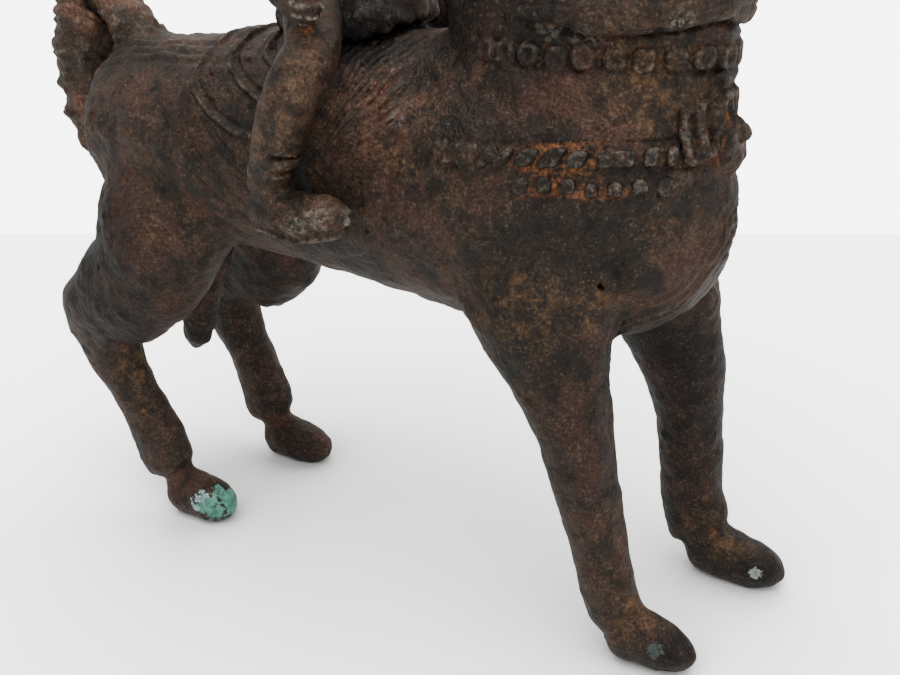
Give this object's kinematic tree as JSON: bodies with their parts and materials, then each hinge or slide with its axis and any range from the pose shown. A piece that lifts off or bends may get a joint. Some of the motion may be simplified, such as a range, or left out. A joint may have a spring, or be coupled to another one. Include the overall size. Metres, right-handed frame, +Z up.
{
  "type": "horse and rider statuette",
  "caption": "Dark patinated cast bronze statuette of a standing harnessed horse with a plaited tail and a seated rider in a turban.",
  "frame": {"origin": "middle of the footprint of the bounding box, on the ground under the hooves", "axes": "+X towards the horse's chest, +Y to the horse's left, +Z up"},
  "size_m": [0.1902, 0.0666, 0.183],
  "materials": {
    "horse_bronze": "dark brown patinated bronze, reddish and ochre in the hollows, worn",
    "harness_bronze": "dark brown patinated bronze with rusty orange deposits between the beads",
    "cloth_bronze": "dark grey-brown patinated bronze, engraved",
    "rider_bronze": "brown patinated bronze, rubbed lighter on the high points"
  },
  "bodies": {
    "root": {"horse_trunk": "horse_bronze", "horse_neck": "horse_bronze", "horse_head": "horse_bronze", "horse_left_ear": "horse_bronze", "horse_right_ear": "horse_bronze", "horse_left_eye": "horse_bronze", "horse_right_eye": "horse_bronze", "mane": "horse_bronze", "right_fore_leg": "horse_bronze", "left_fore_leg": "horse_bronze", "right_hind_leg": "horse_bronze", "left_hind_leg": "horse_bronze", "sheath": "horse_bronze", "tail_dock": "horse_bronze", "tail_switch": "horse_bronze", "rolled_collar": "harness_bronze", "collar_bead_string": "harness_bronze", "left_breast_band": "harness_bronze", "right_breast_band": "harness_bronze", "left_breast_beads": "harness_bronze", "right_breast_beads": "harness_bronze", "chest_pendant": "harness_bronze", "crupper_strap": "harness_bronze", "noseband": "harness_bronze", "browband": "harness_bronze", "left_rein": "harness_bronze", "right_rein": "harness_bronze", "saddle_cloth": "cloth_bronze", "saddle": "cloth_bronze", "rider_torso": "rider_bronze", "rider_head": "rider_bronze", "turban": "rider_bronze", "rider_right_leg": "rider_bronze", "rider_right_arm": "rider_bronze", "rider_left_leg": "rider_bronze", "rider_left_arm": "rider_bronze", "waist_sash": "rider_bronze"}
  },
  "joints": []
}
